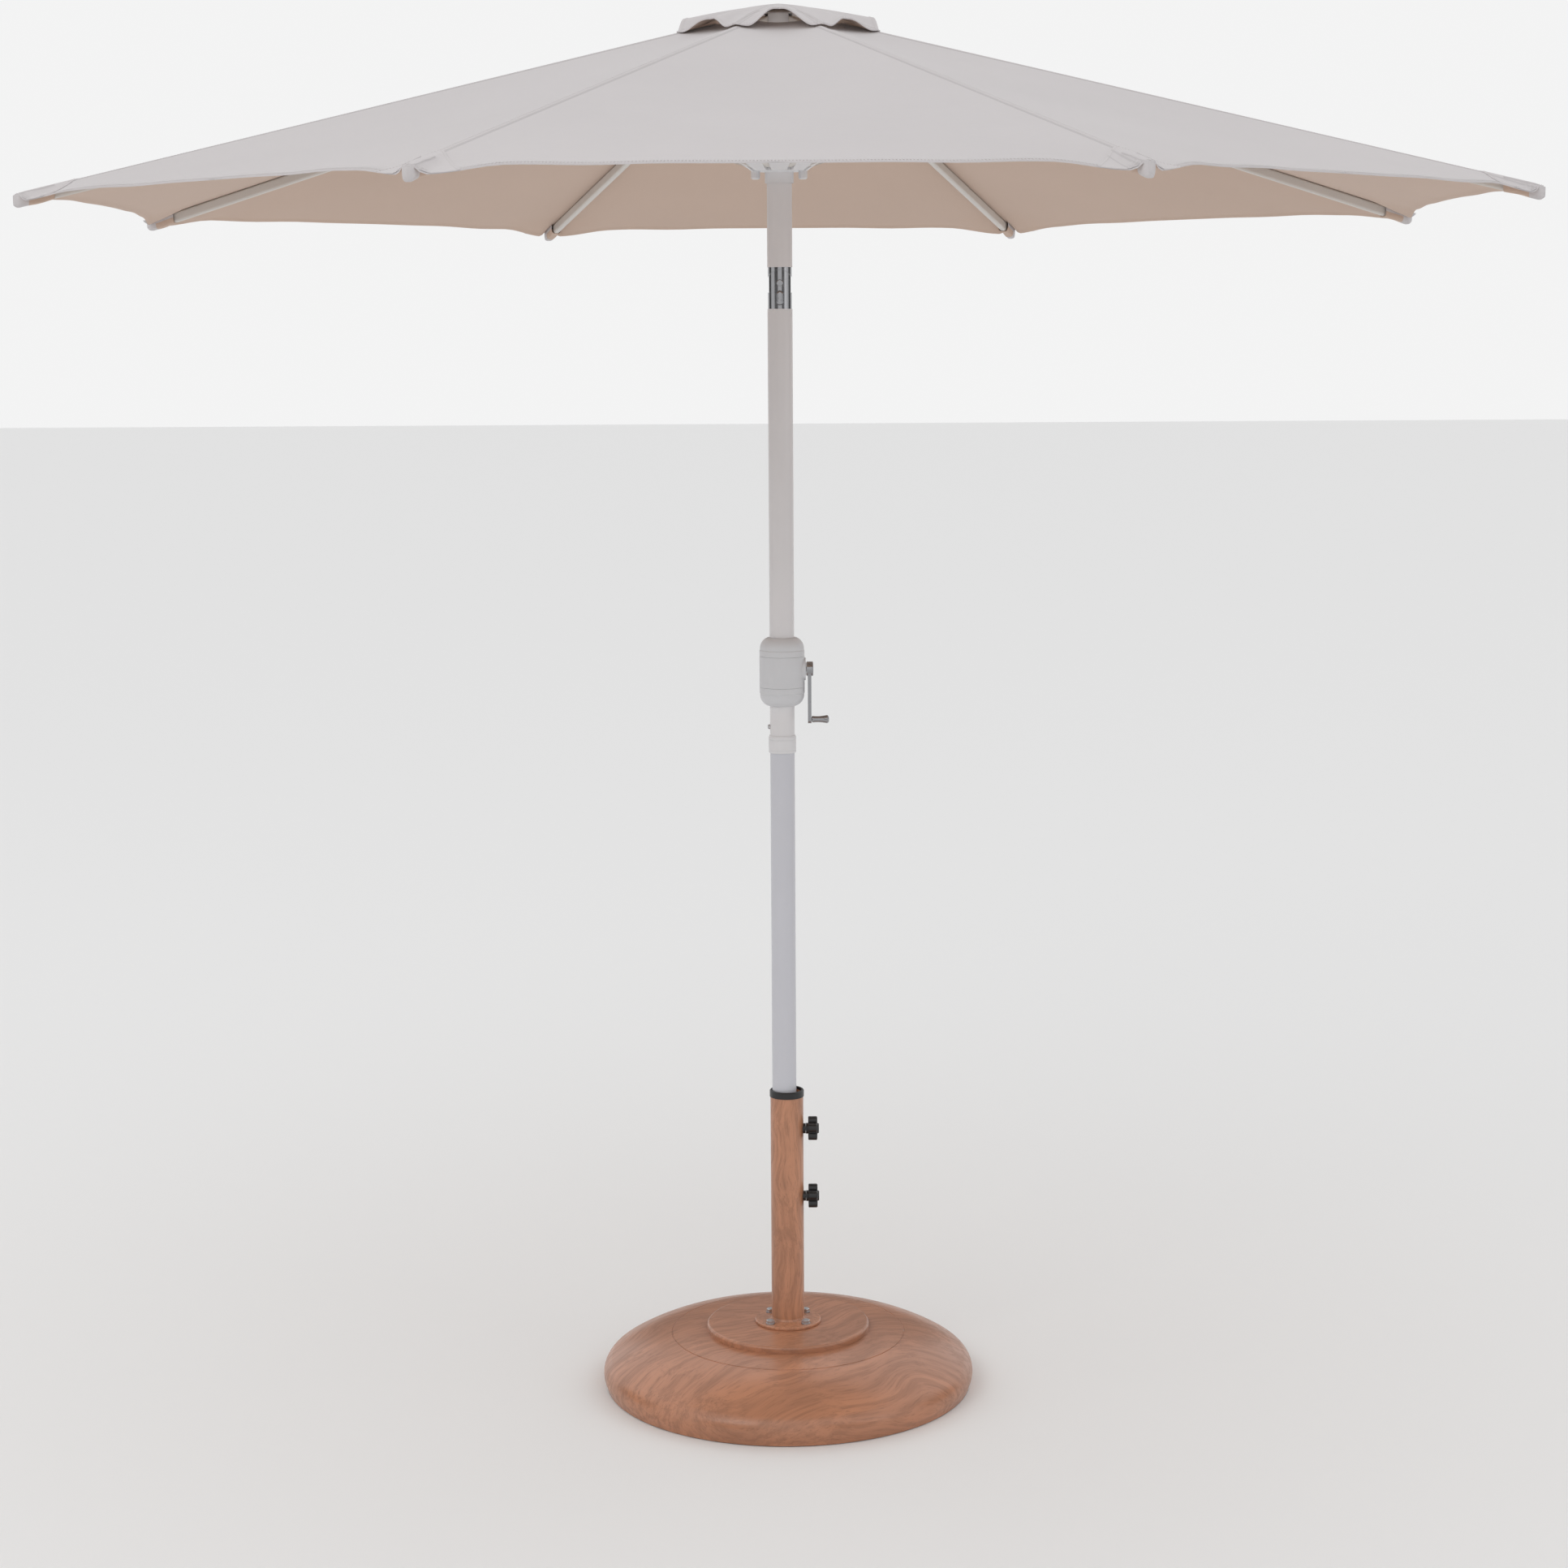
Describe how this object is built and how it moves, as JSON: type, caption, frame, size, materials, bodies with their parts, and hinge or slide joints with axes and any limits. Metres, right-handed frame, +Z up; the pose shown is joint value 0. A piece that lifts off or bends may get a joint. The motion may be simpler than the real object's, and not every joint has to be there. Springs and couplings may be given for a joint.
{
  "type": "patio umbrella with base",
  "caption": "Octagonal garden umbrella with a vented cloth top, crank lift and tilt joint, on a pole clamped by two knobs in a round weighted base.",
  "frame": {"origin": "on the floor, on the axis of the pole and the canopy", "axes": "+Z up along the pole; +X towards the crank and the clamp knobs; -Y towards the tilt button"},
  "size_m": [2.3096, 2.3096, 2.377],
  "materials": {
    "canopy_cloth": "matte",
    "pole_paint": "satin",
    "rib_paint": "satin",
    "white_plastic": "satin",
    "black_plastic": "satin",
    "chrome": "polished",
    "zinc_steel": "satin",
    "wood_print": "satin",
    "holder_wood_print": "satin",
    "concrete": "matte",
    "rubber": "matte"
  },
  "bodies": {
    "base": {"base_shell": "wood_print", "base_ballast": "concrete", "base_bottom_plate": "black_plastic", "base_feet": "rubber", "pole_holder": "holder_wood_print", "holder_bolts": "zinc_steel", "holder_rim": "black_plastic", "knob_nuts": "black_plastic"},
    "upper_knob_stud": {"knob_upper_stud": "zinc_steel"},
    "upper_knob": {"knob_upper": "black_plastic"},
    "lower_knob_stud": {"knob_lower_stud": "zinc_steel"},
    "lower_knob": {"knob_lower": "black_plastic"},
    "pole_foot": {"pole_foot_plug": "black_plastic"},
    "mast": {"lower_pole": "pole_paint", "pole_collar": "white_plastic", "mid_pole": "pole_paint", "housing_upper_cap": "white_plastic", "housing_barrel": "white_plastic", "housing_lower_cap": "white_plastic", "housing_screws": "zinc_steel", "crank_bush": "white_plastic", "tilt_lower_joint": "chrome", "tilt_pin": "chrome", "tilt_spring": "zinc_steel"},
    "snap": {"snap_button": "zinc_steel"},
    "crank": {"crank_shaft": "zinc_steel", "crank_arm": "chrome"},
    "grip": {"crank_grip": "chrome"},
    "tilt_lock": {"tilt_button": "chrome"},
    "head": {"tilt_upper_joint": "chrome", "upper_pole": "pole_paint", "top_hub": "white_plastic", "hub_ring_wire": "zinc_steel", "hub_cap": "white_plastic", "pulley_pin": "zinc_steel", "canopy": "canopy_cloth", "vent_canopy": "canopy_cloth"},
    "lift_pulley": {"pulley": "white_plastic"},
    "lift_runner": {"runner": "white_plastic", "runner_ring_wire": "zinc_steel", "runner_plugs": "white_plastic"},
    "rib_1_body": {"rib_1": "rib_paint"},
    "stretcher_1_body": {"stretcher_1": "rib_paint"},
    "rib_2_body": {"rib_2": "rib_paint"},
    "stretcher_2_body": {"stretcher_2": "rib_paint"},
    "rib_3_body": {"rib_3": "rib_paint"},
    "stretcher_3_body": {"stretcher_3": "rib_paint"},
    "rib_4_body": {"rib_4": "rib_paint"},
    "stretcher_4_body": {"stretcher_4": "rib_paint"},
    "rib_5_body": {"rib_5": "rib_paint"},
    "stretcher_5_body": {"stretcher_5": "rib_paint"},
    "rib_6_body": {"rib_6": "rib_paint"},
    "stretcher_6_body": {"stretcher_6": "rib_paint"},
    "rib_7_body": {"rib_7": "rib_paint"},
    "stretcher_7_body": {"stretcher_7": "rib_paint"},
    "rib_8_body": {"rib_8": "rib_paint"},
    "stretcher_8_body": {"stretcher_8": "rib_paint"}
  },
  "joints": [
    {"name": "upper_knob_advance", "type": "slide", "parent": "base", "child": "upper_knob_stud", "axis": [1, 0, 0], "range_m": [0, 0.00376]},
    {"name": "upper_knob_turn", "type": "hinge", "parent": "upper_knob_stud", "child": "upper_knob", "pos_m": [0.045, 0, 0.46], "axis": [1, 0, 0], "range_deg": [0, 1080]},
    {"name": "lower_knob_advance", "type": "slide", "parent": "base", "child": "lower_knob_stud", "axis": [1, 0, 0], "range_m": [0, 0.00376]},
    {"name": "lower_knob_turn", "type": "hinge", "parent": "lower_knob_stud", "child": "lower_knob", "pos_m": [0.045, 0, 0.338], "axis": [1, 0, 0], "range_deg": [0, 1080]},
    {"name": "pole_lift", "type": "slide", "parent": "base", "child": "pole_foot", "axis": [0, 0, 1], "range_m": [0, 0.45]},
    {"name": "mast_swivel", "type": "hinge", "parent": "pole_foot", "child": "mast", "pos_m": [0, 0, 0.3], "axis": [0, 0, 1], "continuous": true},
    {"name": "snap_press", "type": "slide", "parent": "mast", "child": "snap", "axis": [1, 0, 0], "range_m": [0, 0.0058], "stiffness_N_per_m": 1500, "springref_m": -0.003},
    {"name": "crank_turn", "type": "hinge", "parent": "mast", "child": "crank", "pos_m": [0.045, 0, 1.2697], "axis": [1, 0, 0], "range_deg": [0, 2967.7]},
    {"name": "grip_spin", "type": "hinge", "parent": "crank", "child": "grip", "pos_m": [0.065, 0, 1.1827], "axis": [1, 0, 0], "continuous": true},
    {"name": "tilt_button_press", "type": "slide", "parent": "mast", "child": "tilt_lock", "axis": [0, 1, 0], "range_m": [0, 0.003], "stiffness_N_per_m": 1200, "springref_m": -0.002, "deforming": ["tilt_spring"]},
    {"name": "tilt", "type": "hinge", "parent": "mast", "child": "head", "pos_m": [0, 0, 1.921], "axis": [0, 1, 0], "range_deg": [-30, 0]},
    {"name": "pulley_turn", "type": "hinge", "parent": "head", "child": "lift_pulley", "pos_m": [0.012, 0, 2.341], "axis": [0, 1, 0], "range_deg": [0, 2611.6]},
    {"name": "runner_slide", "type": "slide", "parent": "head", "child": "lift_runner", "axis": [0, 0, -1], "range_m": [0, 0.56986]},
    {"name": "rib_1_fold", "type": "hinge", "parent": "head", "child": "rib_1_body", "pos_m": [0.04157, 0.01722, 2.346], "axis": [-0.3827, 0.9239, 0], "range_deg": [0, 71.2], "deforming": ["canopy", "vent_canopy"]},
    {"name": "stretcher_1_fold", "type": "hinge", "parent": "rib_1_body", "child": "stretcher_1_body", "pos_m": [0.3958, 0.16394, 2.23073], "axis": [0.3827, -0.9239, 0], "range_deg": [0, 142.41]},
    {"name": "rib_2_fold", "type": "hinge", "parent": "head", "child": "rib_2_body", "pos_m": [0.01722, 0.04157, 2.346], "axis": [-0.9239, 0.3827, 0], "range_deg": [0, 71.2]},
    {"name": "stretcher_2_fold", "type": "hinge", "parent": "rib_2_body", "child": "stretcher_2_body", "pos_m": [0.16394, 0.3958, 2.23073], "axis": [0.9239, -0.3827, 0], "range_deg": [0, 142.41]},
    {"name": "rib_3_fold", "type": "hinge", "parent": "head", "child": "rib_3_body", "pos_m": [-0.01722, 0.04157, 2.346], "axis": [-0.9239, -0.3827, 0], "range_deg": [0, 71.2]},
    {"name": "stretcher_3_fold", "type": "hinge", "parent": "rib_3_body", "child": "stretcher_3_body", "pos_m": [-0.16394, 0.3958, 2.23073], "axis": [0.9239, 0.3827, 0], "range_deg": [0, 142.41]},
    {"name": "rib_4_fold", "type": "hinge", "parent": "head", "child": "rib_4_body", "pos_m": [-0.04157, 0.01722, 2.346], "axis": [-0.3827, -0.9239, 0], "range_deg": [0, 71.2]},
    {"name": "stretcher_4_fold", "type": "hinge", "parent": "rib_4_body", "child": "stretcher_4_body", "pos_m": [-0.3958, 0.16394, 2.23073], "axis": [0.3827, 0.9239, 0], "range_deg": [0, 142.41]},
    {"name": "rib_5_fold", "type": "hinge", "parent": "head", "child": "rib_5_body", "pos_m": [-0.04157, -0.01722, 2.346], "axis": [0.3827, -0.9239, 0], "range_deg": [0, 71.2]},
    {"name": "stretcher_5_fold", "type": "hinge", "parent": "rib_5_body", "child": "stretcher_5_body", "pos_m": [-0.3958, -0.16394, 2.23073], "axis": [-0.3827, 0.9239, 0], "range_deg": [0, 142.41]},
    {"name": "rib_6_fold", "type": "hinge", "parent": "head", "child": "rib_6_body", "pos_m": [-0.01722, -0.04157, 2.346], "axis": [0.9239, -0.3827, 0], "range_deg": [0, 71.2]},
    {"name": "stretcher_6_fold", "type": "hinge", "parent": "rib_6_body", "child": "stretcher_6_body", "pos_m": [-0.16394, -0.3958, 2.23073], "axis": [-0.9239, 0.3827, 0], "range_deg": [0, 142.41]},
    {"name": "rib_7_fold", "type": "hinge", "parent": "head", "child": "rib_7_body", "pos_m": [0.01722, -0.04157, 2.346], "axis": [0.9239, 0.3827, 0], "range_deg": [0, 71.2]},
    {"name": "stretcher_7_fold", "type": "hinge", "parent": "rib_7_body", "child": "stretcher_7_body", "pos_m": [0.16394, -0.3958, 2.23073], "axis": [-0.9239, -0.3827, 0], "range_deg": [0, 142.41]},
    {"name": "rib_8_fold", "type": "hinge", "parent": "head", "child": "rib_8_body", "pos_m": [0.04157, -0.01722, 2.346], "axis": [0.3827, 0.9239, 0], "range_deg": [0, 71.2]},
    {"name": "stretcher_8_fold", "type": "hinge", "parent": "rib_8_body", "child": "stretcher_8_body", "pos_m": [0.3958, -0.16394, 2.23073], "axis": [-0.3827, -0.9239, 0], "range_deg": [0, 142.41]}
  ],
  "couplings": [
    {"joint": "upper_knob_advance", "follows": "upper_knob_turn", "m_per_rad": 0.00019894},
    {"joint": "lower_knob_advance", "follows": "lower_knob_turn", "m_per_rad": 0.00019894},
    {"joint": "crank_turn", "follows": "rib_1_fold", "ratio": 41.674},
    {"joint": "pulley_turn", "follows": "rib_1_fold", "ratio": 36.673},
    {"joint": "runner_slide", "follows": "rib_1_fold", "m_per_rad": 0.45841},
    {"joint": "stretcher_1_fold", "follows": "rib_1_fold", "ratio": 2},
    {"joint": "rib_2_fold", "follows": "rib_1_fold", "ratio": 1},
    {"joint": "stretcher_2_fold", "follows": "rib_1_fold", "ratio": 2},
    {"joint": "rib_3_fold", "follows": "rib_1_fold", "ratio": 1},
    {"joint": "stretcher_3_fold", "follows": "rib_1_fold", "ratio": 2},
    {"joint": "rib_4_fold", "follows": "rib_1_fold", "ratio": 1},
    {"joint": "stretcher_4_fold", "follows": "rib_1_fold", "ratio": 2},
    {"joint": "rib_5_fold", "follows": "rib_1_fold", "ratio": 1},
    {"joint": "stretcher_5_fold", "follows": "rib_1_fold", "ratio": 2},
    {"joint": "rib_6_fold", "follows": "rib_1_fold", "ratio": 1},
    {"joint": "stretcher_6_fold", "follows": "rib_1_fold", "ratio": 2},
    {"joint": "rib_7_fold", "follows": "rib_1_fold", "ratio": 1},
    {"joint": "stretcher_7_fold", "follows": "rib_1_fold", "ratio": 2},
    {"joint": "rib_8_fold", "follows": "rib_1_fold", "ratio": 1},
    {"joint": "stretcher_8_fold", "follows": "rib_1_fold", "ratio": 2}
  ]
}
